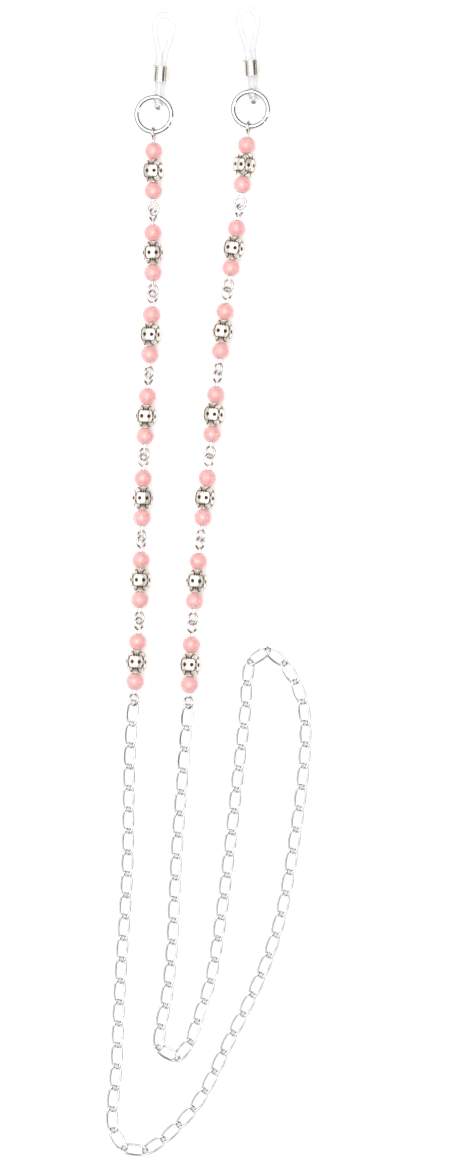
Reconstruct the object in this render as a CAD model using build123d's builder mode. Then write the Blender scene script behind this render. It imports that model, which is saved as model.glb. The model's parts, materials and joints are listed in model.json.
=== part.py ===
"""A beaded eyeglass chain lying flat, as one assembly of separate pieces.

Two strands of beaded eye pins run from the temple loops at +Y down to a fine
curb chain, which winds back and forth between them. Sizes are in millimetres,
+Z is up from the table and the origin is the middle of the footprint.
"""
from build123d import *
import os
from math import cos, pi, radians, sin

os.makedirs("parts", exist_ok=True)

# How everything lies on the table: each list is a line through the joints
LEFT_STRAND = [
    (-13.1, 102.8), (-13.3, 75.7), (-13.6, 57.5), (-14.9, 38.2),
    (-15.7, 18.9), (-16.1, 1.4), (-17.7, -27.1),
]
RIGHT_STRAND = [
    (8.5, 104.3), (5.1, 76.4), (2.4, 57.4), (0.6, 38.4),
    (-1.5, 19.3), (-3.5, 0.7), (-5.3, -28.0),
]
CHAIN_LINE = [
    LEFT_STRAND[-1],
    (-18.5, -37), (-19.2, -66), (-20.5, -86), (-21.4, -104), (-22.2, -116),
    (-22.4, -124.5), (-19.6, -128.6), (-15.1, -129), (-10.8, -126.2),
    (-7.1, -122.7), (-3.9, -119.1), (2, -108), (8.5, -95), (14.5, -80),
    (19, -57), (21.3, -37), (20.5, -26), (17, -18.9),
    (13.2, -15.2), (9.4, -16.8), (7.9, -23.3), (6.7, -37), (3.4, -66),
    (1.5, -80), (-1.3, -94), (-4.4, -102.8), (-6.2, -106.8), (-9.8, -108.2),
    (-12.3, -104.6), (-11.6, -100.5), (-9.9, -92), (-8.2, -66), (-6.3, -40),
    RIGHT_STRAND[-1],
]
# Centre of the footprint in the numbers above
FOOTPRINT_CENTRE = (-0.61, 0.515)

# Eye pins and the beads on them
UNITS = 7
PIN_WIRE = 0.65
EYE_RADIUS = 1.3
EYE_TURN = 335
PIN_SPAN = 17.25
PIN_HEIGHT = 2.5
# How far each pin is rolled about its own length, in degrees from the ring down
PIN_ROLLS = [12, 32, 50, 38, 52, 42, 46]
BORE_RADIUS = PIN_WIRE / 2 + 0.08
BEAD_GAP = 0.05
PINK_RADIUS = 2.0
METAL_RADIUS = 2.5
METAL_CORE_RADIUS = 2.3
BOSSES = 4
BOSS_RADIUS = 1.7
COLLAR_RADIUS = 0.95
COLLAR_WIRE = 0.5

# Curb chain
SEGMENT_SIZES = [7, 7, 10, 7, 7, 6, 8, 6, 6, 8, 6, 7]
LINKS = sum(SEGMENT_SIZES)
LINK_LENGTH = 6.4
LINK_WIDTH = 2.85
LINK_WIRE = 0.53
LINK_TWIST = 90
LINK_SQUARENESS = 3.2
LINK_POINTS = 9
DROP_LINKS = 3

# Jump rings, cut at an angle round the ring from the side of the temple loop
RING_RADIUS = 3.95
RING_WIRE = 1.15
RING_TURN = 356
RING_CUT_AT = -125
RING_OFFSET = 0.2
RING_PIN_HEIGHT = 2.35
RING_LOOP_HEIGHT = 2.28

# Silicone temple loops: distance from the ring end, half the distance between
# the strands, roll about the long axis in degrees and height above the table
STRAND_WIDTH = 1.3
NECK_HEIGHT = 1.82
LOOP_STATIONS = [
    (0, 0, 74, 2.28), (0.5, 1.1, 74, 2.28), (1.6, 1.62, 74, 2.28),
    (3.6, 1.2, 64, 2.1), (5.4, 0.74, 50, NECK_HEIGHT), (7.7, 0.74, 34, NECK_HEIGHT),
    (10, 0.74, 20, NECK_HEIGHT), (12.3, 0.76, 10, NECK_HEIGHT), (15, 1.4, 3, 1.2),
    (17.4, 1.95, 0, 0.75), (19.3, 2.0, 0, 0.66), (20.6, 1.4, 0, 0.66),
    (21.2, 0, 0, 0.66),
]
LOOP_OVERLAP = 2.2
LOOP_LEAN = {"left": -4, "right": 4}
# Where each temple loop hooks its ring, as an angle round the ring
LOOP_HOOK = {"left": -16, "right": -2}

# Coil ferrules round the necks of the temple loops
COIL_AT = 7.7
COIL_RADIUS = 1.63
COIL_WIRE = 0.35
COIL_PITCH = 0.39
COIL_TURNS = 9


def laid(points):
    """A smooth line through points on the table, centred on the footprint."""
    x, y = FOOTPRINT_CENTRE
    return Spline(*[(px - x, py - y, 0) for px, py in points])


def strides(fine, step):
    """Points one straight step apart, as far along a fine line as they go."""
    points = [fine[0]]
    for near, far in zip(fine, fine[1:]):
        reach = (far - points[-1]).length
        if reach >= step:
            back = (reach - step) / (far - near).length
            points.append(far + (near - far) * back)
    return points


def split(line, count):
    """Joints that split a line into a number of equal straight steps."""
    samples = 60 * count
    fine = [line @ (i / samples) for i in range(samples + 1)]
    short, long = 0.7 * line.length / count, line.length / count
    for _ in range(25):
        step = (short + long) / 2
        if len(strides(fine, step)) > count:
            short = step
        else:
            long = step
    return strides(fine, short)[: count + 1]


def raised(point, height):
    """The point at a given height above the table."""
    return Vector(point.X, point.Y, height)


def between(start, end):
    """A plane midway between two points, its x running from one to the other."""
    run = end - start
    side = Vector(0, 0, 1).cross(run)
    return Plane(origin=(start + end) / 2, x_dir=run, z_dir=run.cross(side))


def link_side():
    """The centreline of one side of a curb link, from its +x tip to its -x tip.

    The link is a rounded oblong, rolled about x by a quarter turn from tip to tip.
    """
    half_length = (LINK_LENGTH - LINK_WIRE) / 2
    half_width = (LINK_WIDTH - LINK_WIRE) / 2
    power = 2 / LINK_SQUARENESS
    points = []
    for i in range(LINK_POINTS):
        turn = pi * i / (LINK_POINTS - 1)
        along = abs(cos(turn)) ** power * (1 if cos(turn) > 0 else -1)
        across = abs(sin(turn)) ** power * half_width
        roll = radians(LINK_TWIST / 2) * along
        points.append((along * half_length, across * cos(roll), across * sin(roll)))
    return points


def curb_link():
    """One link of the chain, lying along x, as two alike sides half a turn apart."""
    roll = radians(LINK_TWIST / 2)
    leaving, arriving = (0, cos(roll), sin(roll)), (0, -cos(roll), sin(roll))
    with BuildPart() as side:
        with BuildLine() as centreline:
            Spline(*link_side(), tangents=(leaving, arriving), tangent_scalars=(1, 1))
        with BuildSketch(Plane(origin=centreline.line @ 0, z_dir=centreline.line % 0)):
            Circle(LINK_WIRE / 2)
        sweep(path=centreline.line)
    with BuildPart() as link:
        add(side.part)
        add(side.part, rotation=(180, 0, 0))
    return link.part


def eye_pin():
    """A wire lying along x with an upright eye at one end and a flat one at the other."""
    with BuildPart() as pin:
        Cylinder(PIN_WIRE / 2, PIN_SPAN - 2 * EYE_RADIUS, rotation=(0, 90, 0))
        with Locations((-PIN_SPAN / 2, 0, 0)):
            Torus(EYE_RADIUS, PIN_WIRE / 2, major_angle=EYE_TURN, rotation=(90, 0, 0))
        with Locations((PIN_SPAN / 2, 0, 0)):
            Torus(EYE_RADIUS, PIN_WIRE / 2, major_angle=EYE_TURN, rotation=(0, 0, 180))
    return pin.part


def below_axis(radius, height):
    """Cut away the part of a bead's outline that lies below a line along x."""
    with Locations((0, height)):
        Rectangle(
            3 * radius, 2 * radius, align=(Align.CENTER, Align.MAX), mode=Mode.SUBTRACT
        )


def pink_bead():
    """A plain round bead bored along x."""
    with BuildPart() as bead:
        with BuildSketch():
            Circle(PINK_RADIUS)
            below_axis(PINK_RADIUS, BORE_RADIUS)
        revolve(axis=Axis.X)
    return bead.part


def metal_bead():
    """An embossed bead: domed bosses round its waist and a collar at each end of the bore."""
    collar_at = METAL_RADIUS - COLLAR_WIRE / 2
    with BuildPart() as bead:
        with BuildSketch(Plane.XY.rotated((180 / BOSSES, 0, 0))):
            Circle(METAL_CORE_RADIUS)
            with Locations((-collar_at, COLLAR_RADIUS), (collar_at, COLLAR_RADIUS)):
                Circle(COLLAR_WIRE / 2)
            below_axis(METAL_RADIUS, 0)
        revolve(axis=Axis.X)
        with Locations(Plane.YZ):
            with PolarLocations(METAL_RADIUS - BOSS_RADIUS, BOSSES):
                Sphere(BOSS_RADIUS, rotation=(0, 90, 0))
        Cylinder(BORE_RADIUS, 3 * METAL_RADIUS, rotation=(0, 90, 0), mode=Mode.SUBTRACT)
    return bead.part


def jump_ring():
    """A cut ring of round wire, lying flat with its cut on the side of the eye pin."""
    with BuildPart() as ring:
        Torus(RING_RADIUS, RING_WIRE / 2, major_angle=RING_TURN, rotation=(0, 0, RING_CUT_AT))
    return ring.part


def silicone_loop():
    """A closed silicone band along x, rolled from its ring end to its flat far end."""
    tip_roll = radians(LOOP_STATIONS[0][2])
    with BuildPart() as band:
        for hand in (1, -1):
            points = []
            for run, half_gap, roll, height in LOOP_STATIONS:
                y = hand * half_gap * cos(radians(roll))
                z = hand * half_gap * sin(radians(roll))
                points.append((run, y, height + z))
            leaving = (0, hand * cos(tip_roll), hand * sin(tip_roll))
            with BuildLine() as strand:
                Spline(*points, tangents=(leaving, (0, -hand, 0)), tangent_scalars=(1, 1))
            with BuildSketch(Plane(origin=strand.line @ 0, z_dir=strand.line % 0)):
                Circle(STRAND_WIDTH / 2)
            sweep(path=strand.line)
    return band.part


def coil_ferrule():
    """A close-wound wire coil along x, centred on the neck of the temple loop."""
    length = COIL_PITCH * COIL_TURNS
    with BuildPart() as coil:
        with BuildLine() as centreline:
            Helix(
                COIL_PITCH, length, COIL_RADIUS,
                center=(COIL_AT - length / 2, 0, NECK_HEIGHT), direction=(1, 0, 0),
            )
        with BuildSketch(Plane(origin=centreline.line @ 0, z_dir=centreline.line % 0)):
            Circle(COIL_WIRE / 2)
        sweep(path=centreline.line, is_frenet=True)
    return coil.part


def ring_plane(first_pin):
    """Where a ring lies: hooked through the eye of the first pin, its x away from it."""
    away = -first_pin.x_dir
    eye = first_pin.origin + away * (PIN_SPAN / 2)
    near = raised(eye + away * RING_OFFSET, RING_PIN_HEIGHT)
    far = raised(eye + away * (RING_OFFSET + 2 * RING_RADIUS), RING_LOOP_HEIGHT)
    return between(near, far)


def loop_plane(ring, side):
    """Where a temple loop lies: hooked round the far side of its ring, leaning a little."""
    toward = ring.x_dir.rotate(Axis(ring.origin, ring.z_dir), LOOP_HOOK[side])
    hook = ring.origin + toward * RING_RADIUS
    lean = Vector(0, 1, 0).rotate(Axis.Z, LOOP_LEAN[side])
    return Plane(origin=raised(hook - lean * LOOP_OVERLAP, 0), x_dir=lean, z_dir=(0, 0, 1))


def strand_planes(line):
    """The plane of each eye pin on a strand before it is rolled, from the ring down."""
    joints = [raised(point, PIN_HEIGHT) for point in split(laid(line), UNITS)]
    return [between(start, end) for start, end in zip(joints, joints[1:])]


def chain_joints():
    """The joints of the chain, sloping down to the table from the eye pins."""
    lying = max(abs(z) for _, _, z in link_side()) + LINK_WIRE / 2
    joints = []
    for i, point in enumerate(split(laid(CHAIN_LINE), LINKS)):
        rise = max(0, 1 - min(i, LINKS - i) / DROP_LINKS)
        joints.append(raised(point, lying + (PIN_HEIGHT - lying) * rise))
    return joints


STRANDS = {"left": strand_planes(LEFT_STRAND), "right": strand_planes(RIGHT_STRAND)}
CHAIN = chain_joints()

# Temple loops, their coils and the rings that carry them
for side, strand in STRANDS.items():
    ring_place = ring_plane(strand[0])
    loop_place = loop_plane(ring_place, side)

    with BuildPart() as loop:
        with Locations(loop_place):
            add(silicone_loop())
    loop.part.label = f"silicone_loop_{side}"
    export_step(loop.part, f"parts/silicone_loop_{side}.step")

    with BuildPart() as coil:
        with Locations(loop_place):
            add(coil_ferrule())
    coil.part.label = f"coil_{side}"
    export_step(coil.part, f"parts/coil_{side}.step")

    with BuildPart() as ring:
        with Locations(ring_place):
            add(jump_ring())
    ring.part.label = f"jump_ring_{side}"
    export_step(ring.part, f"parts/jump_ring_{side}.step")

# Seven beaded eye pins down each side
PIN, PINK, METAL = eye_pin(), pink_bead(), metal_bead()
PINK_AT = METAL_RADIUS + BEAD_GAP + PINK_RADIUS
for side, strand in STRANDS.items():
    for number, place in enumerate(strand, 1):
        with BuildPart() as pin:
            with Locations(place):
                add(PIN, rotation=(PIN_ROLLS[number - 1], 0, 0))
        pin.part.label = f"eye_pin_{side}_{number}"
        export_step(pin.part, f"parts/eye_pin_{side}_{number}.step")

        with BuildPart() as pink:
            with Locations(place):
                with Locations((-PINK_AT, 0, 0), (PINK_AT, 0, 0)):
                    add(PINK)
        pink.part.label = f"pink_beads_{side}_{number}"
        export_step(pink.part, f"parts/pink_beads_{side}_{number}.step")

        with BuildPart() as metal:
            with Locations(place):
                add(METAL)
        metal.part.label = f"metal_bead_{side}_{number}"
        export_step(metal.part, f"parts/metal_bead_{side}_{number}.step")

# The curb chain, a few links to each segment
LINK = curb_link()
first = 0
for number, size in enumerate(SEGMENT_SIZES, 1):
    joints = CHAIN[first : first + size + 1]
    first += size
    with BuildPart() as segment:
        for start, end in zip(joints, joints[1:]):
            with Locations(between(start, end)):
                add(LINK)
    segment.part.label = f"chain_segment_{number:02d}"
    export_step(segment.part, f"parts/chain_segment_{number:02d}.step")
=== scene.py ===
"""A beaded eyeglass chain lying on white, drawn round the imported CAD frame, in metres."""
import bpy
import json
from math import acos, cos, degrees, exp, pi, radians, sin, sqrt
from mathutils import Matrix, Vector


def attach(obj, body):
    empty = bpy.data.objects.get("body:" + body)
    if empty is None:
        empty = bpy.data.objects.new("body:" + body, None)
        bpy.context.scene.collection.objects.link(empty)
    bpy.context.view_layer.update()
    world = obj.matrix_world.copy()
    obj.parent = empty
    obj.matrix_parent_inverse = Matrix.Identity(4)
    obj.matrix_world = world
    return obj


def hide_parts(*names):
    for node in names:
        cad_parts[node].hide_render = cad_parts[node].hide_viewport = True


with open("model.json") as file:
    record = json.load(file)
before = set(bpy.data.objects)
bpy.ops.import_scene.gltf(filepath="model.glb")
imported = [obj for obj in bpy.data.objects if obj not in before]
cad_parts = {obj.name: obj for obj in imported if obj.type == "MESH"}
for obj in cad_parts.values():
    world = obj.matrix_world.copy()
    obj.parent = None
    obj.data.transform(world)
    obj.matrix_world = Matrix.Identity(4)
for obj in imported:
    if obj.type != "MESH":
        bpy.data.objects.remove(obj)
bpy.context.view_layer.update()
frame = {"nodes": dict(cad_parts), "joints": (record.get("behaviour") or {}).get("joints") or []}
JOINTS = {joint["name"]: joint for joint in frame["joints"]}
UP = Vector((0, 0, 1))
MM = 0.001

# How much of the table the camera sees from top to bottom, and the middle of the view
VIEW_HEIGHT = 263.6 * MM
VIEW_MIDDLE = (6.18 * MM, 0.165 * MM)
CAMERA_DISTANCE = 1.6
SENSOR = 24.0
CLIP_END = 10


# ---------------------------------------------------------------- node helpers
def new_material(name):
    """An empty node material with its output, as (material, nodes, link function)."""
    material = bpy.data.materials.new(name)
    material.use_nodes = True
    tree = material.node_tree
    tree.nodes.clear()
    return material, tree.nodes, tree.links.new


def principled(nodes, link, **values):
    """A Principled shader joined to the output, its sockets set by name."""
    shader = nodes.new("ShaderNodeBsdfPrincipled")
    for socket, value in values.items():
        shader.inputs[socket.replace("_", " ")].default_value = value
    output = nodes.new("ShaderNodeOutputMaterial")
    link(shader.outputs["BSDF"], output.inputs["Surface"])
    return shader


def noise(nodes, link, scale, detail=4.0, stretch=(1, 1, 1)):
    """Noise in the object's own coordinates, its scale in features per metre."""
    where = nodes.new("ShaderNodeTexCoord")
    mapping = nodes.new("ShaderNodeMapping")
    mapping.inputs["Scale"].default_value = stretch
    texture = nodes.new("ShaderNodeTexNoise")
    texture.inputs["Scale"].default_value = scale
    texture.inputs["Detail"].default_value = detail
    link(where.outputs["Object"], mapping.inputs["Vector"])
    link(mapping.outputs["Vector"], texture.inputs["Vector"])
    return texture.outputs["Fac"]


def ramp(nodes, link, factor, stops):
    """A colour ramp over a factor; each stop is (position, colour)."""
    node = nodes.new("ShaderNodeValToRGB")
    elements = node.color_ramp.elements
    while len(elements) < len(stops):
        elements.new(0.5)
    for element, (position, colour) in zip(elements, stops):
        element.position = position
        element.color = (*colour, 1) if len(colour) == 3 else colour
    link(factor, node.inputs["Fac"])
    return node.outputs["Color"]


def spread(nodes, link, factor, low, high):
    """A factor from 0 to 1 spread between two values."""
    node = nodes.new("ShaderNodeMapRange")
    node.inputs["To Min"].default_value = low
    node.inputs["To Max"].default_value = high
    link(factor, node.inputs["Value"])
    return node.outputs["Result"]


def bump(nodes, link, height, distance, strength=0.3):
    """A bump normal from a height field."""
    node = nodes.new("ShaderNodeBump")
    node.inputs["Strength"].default_value = strength
    node.inputs["Distance"].default_value = distance
    link(height, node.inputs["Height"])
    return node.outputs["Normal"]


# ------------------------------------------------------------------- materials
# Tint and roughness of each plated wire
CHAIN_SILVER = ((0.74, 0.74, 0.72), 0.14)
RING_SILVER = ((0.64, 0.64, 0.64), 0.05)
PIN_SILVER = ((0.76, 0.74, 0.72), 0.14)
SPRING_SILVER = ((0.84, 0.82, 0.74), 0.1)


def silver_plate(name, tint, rough):
    """Polished plated wire: small colour and roughness changes and fine polishing marks."""
    material, nodes, link = new_material(name)
    shader = principled(nodes, link, Metallic=1.0)
    mottle = noise(nodes, link, 900)
    dull = tuple(0.86 * c for c in tint)
    link(ramp(nodes, link, mottle, [(0.35, dull), (0.65, tint)]), shader.inputs["Base Color"])
    link(spread(nodes, link, mottle, rough * 0.6, rough * 1.5), shader.inputs["Roughness"])
    marks = noise(nodes, link, 2600, 3)
    link(bump(nodes, link, marks, 0.01 * MM, 0.25), shader.inputs["Normal"])
    return material


def clear_silicone():
    """Clear silicone rubber: soft see-through body with a faint milky bloom."""
    material, nodes, link = new_material("clear_silicone")
    shader = principled(
        nodes, link, Transmission_Weight=0.9, IOR=1.41, Coat_Weight=0.2
    )
    cloud = noise(nodes, link, 500)
    link(ramp(nodes, link, cloud, [(0.3, (0.93, 0.92, 0.94)), (0.7, (0.98, 0.98, 0.99))]),
         shader.inputs["Base Color"])
    link(spread(nodes, link, cloud, 0.12, 0.3), shader.inputs["Roughness"])
    link(bump(nodes, link, noise(nodes, link, 1500), 0.02 * MM, 0.2), shader.inputs["Normal"])
    return material


def pink_resin():
    """Glossy salmon-pink bead with light passing through it and faint cloudy marbling."""
    material, nodes, link = new_material("pink_resin")
    shader = principled(
        nodes, link, IOR=1.62, Coat_Weight=0.5, Coat_Roughness=0.15,
        Subsurface_Weight=0.95, Subsurface_Scale=3.5 * MM,
        Subsurface_Radius=(1.0, 0.5, 0.45),
    )
    cloud = noise(nodes, link, 320, 5)
    link(ramp(nodes, link, cloud, [(0.3, (0.92, 0.41, 0.41)), (0.7, (0.95, 0.48, 0.47))]),
         shader.inputs["Base Color"])
    link(spread(nodes, link, cloud, 0.2, 0.3), shader.inputs["Roughness"])
    link(bump(nodes, link, noise(nodes, link, 1200), 0.02 * MM, 0.15), shader.inputs["Normal"])
    return material


def antique_silver():
    """Bright cast silver whose low places are darkened, by the mesh's tarnish attribute."""
    material, nodes, link = new_material("antique_silver")
    shader = principled(nodes, link, Metallic=0.5)
    low_places = nodes.new("ShaderNodeAttribute")
    low_places.attribute_name = "tarnish"
    cloud = noise(nodes, link, 1400, 4)
    uneven = nodes.new("ShaderNodeMath")
    uneven.operation = "MULTIPLY_ADD"
    uneven.inputs[1].default_value = 0.25
    link(cloud, uneven.inputs[0])
    link(low_places.outputs["Fac"], uneven.inputs[2])
    bright, dull, black = (0.98, 0.95, 0.87), (0.32, 0.23, 0.17), (0.04, 0.025, 0.018)
    link(ramp(nodes, link, uneven.outputs["Value"], [(0.1, bright), (0.4, dull), (0.75, black)]),
         shader.inputs["Base Color"])
    link(spread(nodes, link, uneven.outputs["Value"], 0.14, 0.5), shader.inputs["Roughness"])
    link(bump(nodes, link, noise(nodes, link, 3000), 0.01 * MM, 0.3), shader.inputs["Normal"])
    return material


def dress(material, prefix):
    """Give a material to every CAD node whose name starts with a prefix."""
    for name in frame["nodes"]:
        if name.startswith(prefix):
            node = bpy.data.objects[name]
            node.data.materials.clear()
            node.data.materials.append(material)


# ----------------------------------------------------------------------- beads
# On every bead, a slope is an angle from the bore and a turn is an angle round it, in
# degrees. Rows run from one end of the bore to the other and columns go round it.
BORE_RADIUS = 0.42 * MM
PINK_RADIUS = 2.0 * MM
PINK_AT = 4.51 * MM  # from the middle of the pin to the middle of each pink bead
PINK_ROWS, PINK_COLUMNS = 48, 72
MOUTH_SLOPE = 12
MOUTH_WIDTH = 4
MOUTH_DEPTH = 0.015

# The embossed bead's heights and depths are in bead radii, and its widths in degrees
METAL_RADIUS = 2.5 * MM
METAL_ROWS, METAL_COLUMNS = 96, 160
BARREL_SQUARENESS = 2.5  # 2 would be a ball
BARREL_HEIGHT = 0.93
END_EDGE = 30  # the slope at which the flat ends begin
PANELS = 4
PANEL_HALF_WIDTH = 41
PANEL_HALF_HEIGHT = 38
PANEL_SQUARENESS = 3
PANEL_HEIGHT = 0.895
PANEL_DOME = 1.52  # the radius that the face of a panel is curved to
RIM_WIDTH = 0.04  # of the panel's half width
RIM_DEPTH = 0.03
DIMPLE_SIDE = 22
DIMPLE_WIDTH = 8
DIMPLE_DEPTH = 0.08
FAN_SIDE = 14
FAN_SLOPE = 50
FAN_WIDTH = 3
FAN_LENGTH = 8
FAN_DEPTH = 0.03
LOBE_RISE = 36
LOBE_EDGE = 21
LOBE_HEIGHT = 0.02
LOBE_RIM_WIDTH = 2
LOBE_RIM_DEPTH = 0.03
# How far each bead has turned on its pin, in degrees, from the rings down
BEAD_SPINS = {
    "left": (17, 0, 15, 4, -6, 0, 2),
    "right": (42, 13, 5, 17, 14, 0, 12),
}


def groove(distance, width):
    """A smooth groove: 1 in its middle, falling to nothing past its width."""
    return exp(-((distance / width) ** 2))


def on_bead(slope, turn):
    """The unit vector at a slope from the bore and a turn round it, in degrees."""
    along, out = cos(radians(slope)), sin(radians(slope))
    return Vector((along, out * cos(radians(turn)), out * sin(radians(turn))))


def apart(one, other):
    """The angle in degrees between two unit vectors."""
    return degrees(acos(max(-1, min(1, one.dot(other)))))


def pink_relief(slope, turn):
    """Radius and tarnish of a plain bead, with a faint hollow round each mouth of its bore."""
    from_pole = min(slope, 180 - slope)
    return PINK_RADIUS * (1 - MOUTH_DEPTH * groove(from_pole - MOUTH_SLOPE, MOUTH_WIDTH)), 0


def metal_blank(slope, off_panel):
    """An embossed bead's distance from its middle, before its marks are cut."""
    along, out = abs(cos(radians(slope))), sin(radians(slope))
    barrel = (along**BARREL_SQUARENESS + out**BARREL_SQUARENESS) ** (-1 / BARREL_SQUARENESS)
    back = PANEL_HEIGHT - PANEL_DOME
    lean = radians(off_panel)
    dome = back * cos(lean) + sqrt(PANEL_DOME**2 - (back * sin(lean)) ** 2)
    return max(dome, BARREL_HEIGHT * barrel)


def across_panel(slope, off_turn):
    """How far a place is from a panel's middle: 1 at the panel's rounded square edge."""
    across = off_turn * sin(radians(slope)) / PANEL_HALF_WIDTH
    up = (90 - slope) / PANEL_HALF_HEIGHT
    return (abs(across) ** PANEL_SQUARENESS + abs(up) ** PANEL_SQUARENESS) ** (1 / PANEL_SQUARENESS)


def dimples(place, panel_turn):
    """How deep a place is in the two dimples of a panel, side by side, from 0 to 1."""
    depth = 0
    for side in (-DIMPLE_SIDE, DIMPLE_SIDE):
        depth += groove(apart(place, on_bead(90, panel_turn + side)), DIMPLE_WIDTH)
    return depth


def fan(slope, off_turn):
    """How deep a place is in the three strokes between a panel and each end of the bead."""
    depth = 0
    for side in (-FAN_SIDE, 0, FAN_SIDE):
        depth += groove((off_turn - side) * sin(radians(slope)), FAN_WIDTH)
    return depth * groove(min(slope, 180 - slope) - FAN_SLOPE, FAN_LENGTH)


def from_lobe(place, slope, turn, panel_turn):
    """The angle to the nearest lobe; the lobes sit between panels, near both ends."""
    rise = LOBE_RISE if slope < 90 else -LOBE_RISE
    beside = 180 / PANELS if turn > panel_turn else -180 / PANELS
    return apart(place, on_bead(90 - rise, panel_turn + beside))


def metal_relief(slope, turn):
    """Radius and tarnish of an embossed bead: four domed panels, with lobes between them."""
    place = on_bead(slope, turn)
    panel_turn = round(turn * PANELS / 360) * 360 / PANELS
    square = across_panel(slope, turn - panel_turn)
    to_lobe = from_lobe(place, slope, turn, panel_turn)

    rim = groove(square - 1, RIM_WIDTH)
    outside_panel = min(1, max(0, square - 1) * 20)
    lobe_rim = groove(to_lobe - LOBE_EDGE, LOBE_RIM_WIDTH) * outside_panel
    lobe = max(0, 1 - (to_lobe / LOBE_EDGE) ** 2)
    pits = dimples(place, panel_turn)
    strokes = fan(slope, turn - panel_turn)

    cuts = (
        RIM_DEPTH * rim + LOBE_RIM_DEPTH * lobe_rim
        + DIMPLE_DEPTH * min(1, pits) + FAN_DEPTH * strokes
    )
    blank = metal_blank(slope, apart(place, on_bead(90, panel_turn)))
    radius = blank + LOBE_HEIGHT * lobe - cuts
    if min(slope, 180 - slope) < END_EDGE:
        radius = min(radius, 1 / abs(cos(radians(slope))))
    tarnish = min(1, 0.8 * rim + 0.8 * lobe_rim + 1.5 * pits + 0.9 * strokes)
    return radius * METAL_RADIUS, tarnish


def bead_mesh(name, relief, places, rows, columns):
    """Bored beads at places along x, all as one mesh, shaped by a relief function."""
    points, tarnish, faces = [], [], []
    first = degrees(BORE_RADIUS / relief(0, 0)[0])
    for place in places:
        start = len(points)
        for row in range(rows):
            slope = first + (180 - 2 * first) * row / (rows - 1)
            here, below = start + row * columns, start + (row + 1) % rows * columns
            for column in range(columns):
                turn = 360 * column / columns
                radius, dark = relief(slope, turn)
                points.append(on_bead(slope, turn) * radius + Vector((place, 0, 0)))
                tarnish.append(dark)
                beside = (column + 1) % columns
                faces.append((here + column, here + beside, below + beside, below + column))
    mesh = smooth_mesh(name, points, faces)
    layer = mesh.attributes.new("tarnish", "FLOAT", "POINT")
    layer.data.foreach_set("value", tarnish)
    return mesh


def smooth_mesh(name, points, faces):
    """A smooth-shaded mesh from points and faces."""
    mesh = bpy.data.meshes.new(name)
    mesh.from_pydata(points, [], faces)
    mesh.polygons.foreach_set("use_smooth", [True] * len(faces))
    mesh.update()
    return mesh


def place_piece(name, mesh, origin, along, across, body, node):
    """A piece in place of a CAD node, its x and y laid along two directions."""
    piece = bpy.data.objects.new(name, mesh)
    turned = Matrix((along, across, along.cross(across))).transposed().to_4x4()
    piece.matrix_world = Matrix.Translation(origin) @ turned
    bpy.context.scene.collection.objects.link(piece)
    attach(piece, body)
    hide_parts(node)


def thread_beads(name, mesh, material, node):
    """Beads in place of the CAD ones on every eye pin, each turned a little."""
    mesh.materials.append(material)
    for side, spins in BEAD_SPINS.items():
        for number, spin in enumerate(spins, 1):
            joint = JOINTS[f"bead_spin_{side}_{number}"]
            along = Vector(joint["axis"])
            across = UP.cross(along).normalized()
            across.rotate(Matrix.Rotation(radians(spin), 3, along))
            place_piece(
                f"{name}_{side}_{number}", mesh, Vector(joint["pos_m"]),
                along, across, joint["child"], f"{node}_{side}_{number}",
            )


# ------------------------------------------------------------- silicone loops
# Distance from the ring end, half the distance between the strands, roll about
# the long axis in degrees and height above the table; lengths are in millimetres
LOOP_STATIONS = [
    (0, 0, 74, 2.28), (0.5, 1.1, 74, 2.28), (1.6, 1.62, 74, 2.28),
    (3.6, 1.2, 64, 2.1), (5.4, 0.74, 50, 1.82), (7.7, 0.74, 34, 1.82),
    (10, 0.74, 20, 1.82), (12.3, 0.76, 10, 1.82), (15, 1.4, 3, 1.2),
    (17.4, 1.95, 0, 0.75), (19.3, 2.0, 0, 0.66), (20.6, 1.4, 0, 0.66),
    (21.2, 0, 0, 0.66),
]
# From the hinge on the ring's wire back to the loop's ring end
LOOP_OVERLAP = 2.2 * MM
STRAND_RADIUS = 0.64 * MM
SEAM_HEIGHT = 0.035 * MM
SEAM_WIDTH = 0.12
# Strands nearer than this are one strand turning back at an end of the loop
TURNING_BACK = 0.2 * MM
STATION_STEPS = 10
STRAND_SIDES = 32


def loop_round():
    """The corners of the loop's centreline, once round, in metres."""
    there, back = [], []
    for run, gap, roll, height in LOOP_STATIONS:
        y, z = gap * cos(radians(roll)), gap * sin(radians(roll))
        there.append(Vector((run, y, height + z)) * MM)
        back.append(Vector((run, -y, height - z)) * MM)
    return there + back[-2:0:-1]


def flowing(corners):
    """A closed smooth line through corners, as a list of points."""
    line = []
    count = len(corners)
    for i in range(count):
        before, start, end, after = (corners[(i + k) % count] for k in (-1, 0, 1, 2))
        pull = (end - start).length
        leave = (end - before).normalized() * pull
        arrive = (after - start).normalized() * pull
        for step in range(STATION_STEPS):
            t = step / STATION_STEPS
            line.append(
                start * (2 * t**3 - 3 * t**2 + 1) + leave * (t**3 - 2 * t**2 + t)
                + end * (3 * t**2 - 2 * t**3) + arrive * (t**3 - t**2)
            )
    return line


def section(here, run, toward):
    """Points round a strand, with a fine parting seam on the two sides of the loop."""
    inward = (toward - run * toward.dot(run)).normalized()
    up = run.cross(inward)
    points = []
    for k in range(STRAND_SIDES):
        angle = 2 * pi * k / STRAND_SIDES
        radius = STRAND_RADIUS + SEAM_HEIGHT * groove(abs(sin(angle)), SEAM_WIDTH)
        points.append(here + inward * (radius * cos(angle)) + up * (radius * sin(angle)))
    return points


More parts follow.
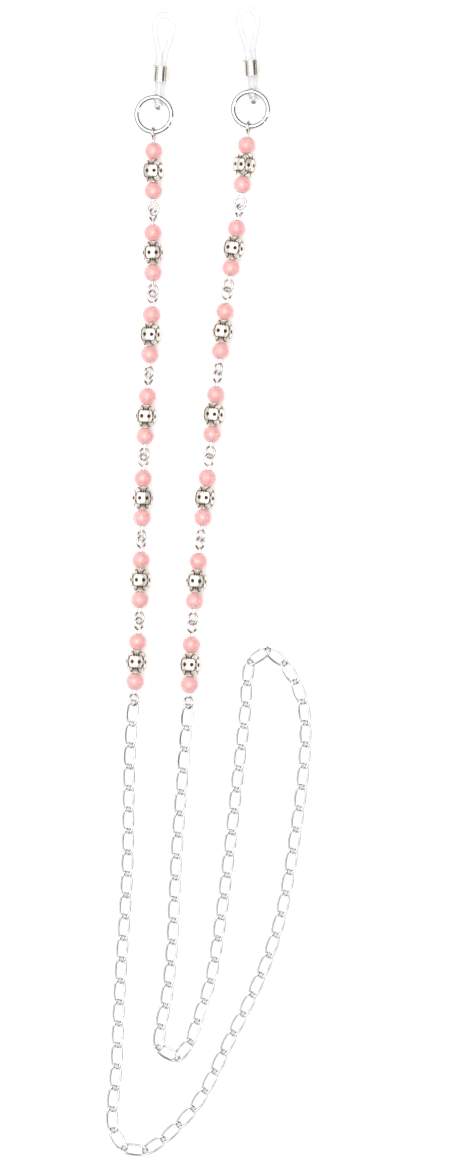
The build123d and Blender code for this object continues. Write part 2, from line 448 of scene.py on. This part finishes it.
def loop_mesh():
    """A moulded silicone loop: a closed round band with a fine parting seam."""
    line = flowing(loop_round())
    count = len(line)
    points, faces = [], []
    for i, here in enumerate(line):
        run = (line[(i + 1) % count] - line[i - 1]).normalized()
        toward = line[-i % count] - here
        if toward.length < TURNING_BACK:
            toward = line[(i + count // 2) % count] - here
        points += section(here, run, toward)
        ring, following = i * STRAND_SIDES, (i + 1) % count * STRAND_SIDES
        for k in range(STRAND_SIDES):
            beside = (k + 1) % STRAND_SIDES
            faces.append((ring + k, ring + beside, following + beside, following + k))
    return smooth_mesh("moulded_loop", points, faces)


def loop_frame(side):
    """Where a loop's ring end lies on the table, and the way that the loop runs."""
    hinge, slide = JOINTS[f"loop_tilt_{side}"], JOINTS[f"coil_slide_{side}"]
    along = Vector(slide["axis"])
    start = Vector(hinge["pos_m"]) - along * LOOP_OVERLAP
    start.z = 0
    return start, along


def silicone_loops(material):
    """A moulded loop in place of each CAD one, hooked round its ring."""
    mesh = loop_mesh()
    mesh.materials.append(material)
    for side in ("left", "right"):
        start, along = loop_frame(side)
        place_piece(
            f"moulded_loop_{side}", mesh, start, along, UP.cross(along),
            JOINTS[f"loop_tilt_{side}"]["child"], f"silicone_loop_{side}",
        )


# ------------------------------------------------------------------- ferrules
COIL_AT = 7.7 * MM  # from the loop's ring end
COIL_HEIGHT = 1.82 * MM
COIL_RADIUS = 1.63 * MM
COIL_TURNS = 9
COIL_PITCH = 0.39 * MM
# Half the wire's width along the coil and across it, and how square it is
WIRE_HALF = (0.185 * MM, 0.175 * MM)
WIRE_SQUARENESS = 3.5
WIRE_SIDES = 24
TURN_STEPS = 64


def squared(value):
    """A cosine or sine, pushed outwards so that the round it draws is squarer."""
    return abs(value) ** (2 / WIRE_SQUARENESS) * (1 if value > 0 else -1)


def wound_coil():
    """A close-wound coil of slightly flattened wire along x, its middle at the origin."""
    points, faces = [], []
    steps = COIL_TURNS * TURN_STEPS
    for i in range(steps + 1):
        angle = 2 * pi * i / TURN_STEPS
        middle = (i / TURN_STEPS - COIL_TURNS / 2) * COIL_PITCH
        for k in range(WIRE_SIDES):
            around = 2 * pi * k / WIRE_SIDES
            x = middle + WIRE_HALF[0] * squared(cos(around))
            radius = COIL_RADIUS + WIRE_HALF[1] * squared(sin(around))
            points.append(Vector((x, radius * cos(angle), radius * sin(angle))))
    for i in range(steps):
        ring, following = i * WIRE_SIDES, (i + 1) * WIRE_SIDES
        for k in range(WIRE_SIDES):
            beside = (k + 1) % WIRE_SIDES
            faces.append((ring + k, following + k, following + beside, ring + beside))
    faces.append(tuple(range(WIRE_SIDES)))
    faces.append(tuple(steps * WIRE_SIDES + k for k in reversed(range(WIRE_SIDES))))
    return smooth_mesh("wound_coil", points, faces)


def coil_ferrules(material):
    """A coil of flattened wire in place of each CAD one, round the neck of its loop."""
    mesh = wound_coil()
    mesh.materials.append(material)
    for side in ("left", "right"):
        start, along = loop_frame(side)
        middle = start + along * COIL_AT + UP * COIL_HEIGHT
        place_piece(
            f"wound_coil_{side}", mesh, middle, along, UP.cross(along),
            JOINTS[f"coil_slide_{side}"]["child"], f"coil_{side}",
        )


# ----------------------------------------------------------------------- stage
# The soft box in the sky: the way to its middle, and the sky's colour at each cosine
# of the angle away from it
SOFT_BOX_TOWARD = Vector((-0.3, 0.1, 1)).normalized()
SOFT_BOX_EDGE = [(0.0, (0.015, 0.015, 0.015)), (0.5, (0.04, 0.04, 0.04)), (0.75, (1, 1, 1))]
SOFT_BOX_STRENGTH = 1.4
# The key lamp hangs above the table and the fill lamp stands low on the right
KEY_PLACE = (-0.12, 0.06, 1.0)
KEY_SIZE = 0.8
KEY_POWER = 5.2
FILL_PLACE = (0.95, -0.1, 0.42)
FILL_SIZE = 0.3
FILL_POWER = 1.6
TABLE_SIZE = 8
TABLE_WHITE = (0.9, 0.9, 0.9, 1)
FLOOR_GLOW = 0.2  # keeps the table white in the picture, without more lamp light on the metal


def table():
    """The plain white surface that the chain lies on."""
    bpy.ops.mesh.primitive_plane_add(size=TABLE_SIZE)
    floor = bpy.context.object
    floor.name = "table"
    material, nodes, link = new_material("table_white")
    principled(
        nodes, link, Base_Color=TABLE_WHITE, Roughness=0.9,
        Emission_Color=(1, 1, 1, 1), Emission_Strength=FLOOR_GLOW,
    )
    floor.data.materials.append(material)


def area_light(name, place, size, power):
    """A soft square lamp aimed at the middle of the object."""
    lamp = bpy.data.lights.new(name, "AREA")
    lamp.size = size
    lamp.energy = power
    holder = bpy.data.objects.new(name, lamp)
    holder.location = place
    holder.rotation_euler = (-Vector(place)).to_track_quat("-Z", "Y").to_euler()
    bpy.context.scene.collection.objects.link(holder)


def sky():
    """A broad soft box overhead, leaning to the left, in a dim studio."""
    world = bpy.data.worlds.new("studio")
    bpy.context.scene.world = world
    world.use_nodes = True
    nodes, link = world.node_tree.nodes, world.node_tree.links.new
    where = nodes.new("ShaderNodeTexCoord")
    toward = nodes.new("ShaderNodeVectorMath")
    toward.operation = "DOT_PRODUCT"
    toward.inputs[1].default_value = SOFT_BOX_TOWARD
    link(where.outputs["Generated"], toward.inputs[0])
    colour = ramp(nodes, link, toward.outputs["Value"], SOFT_BOX_EDGE)
    link(colour, nodes["Background"].inputs["Color"])
    nodes["Background"].inputs["Strength"].default_value = SOFT_BOX_STRENGTH


def camera():
    """Straight down on the table, through a long lens."""
    lens = bpy.data.cameras.new("camera")
    lens.sensor_fit = "VERTICAL"
    lens.sensor_height = SENSOR
    lens.lens = SENSOR * CAMERA_DISTANCE / VIEW_HEIGHT
    lens.clip_end = CLIP_END
    holder = bpy.data.objects.new("camera", lens)
    holder.location = (*VIEW_MIDDLE, CAMERA_DISTANCE)
    bpy.context.scene.collection.objects.link(holder)
    bpy.context.scene.camera = holder


camera()
table()
sky()
area_light("key", KEY_PLACE, KEY_SIZE, KEY_POWER)
area_light("fill", FILL_PLACE, FILL_SIZE, FILL_POWER)
bpy.context.scene.view_settings.view_transform = "Standard"

dress(silver_plate("chain_silver", *CHAIN_SILVER), "chain_segment")
dress(silver_plate("ring_silver", *RING_SILVER), "jump_ring")
dress(silver_plate("pin_silver", *PIN_SILVER), "eye_pin")
pink_pair = bead_mesh("pink_pair", pink_relief, (-PINK_AT, PINK_AT), PINK_ROWS, PINK_COLUMNS)
thread_beads("pink_pair", pink_pair, pink_resin(), "pink_beads")
embossed = bead_mesh("embossed_bead", metal_relief, (0,), METAL_ROWS, METAL_COLUMNS)
thread_beads("embossed_bead", embossed, antique_silver(), "metal_bead")
silicone_loops(clear_silicone())
coil_ferrules(silver_plate("spring_silver", *SPRING_SILVER))
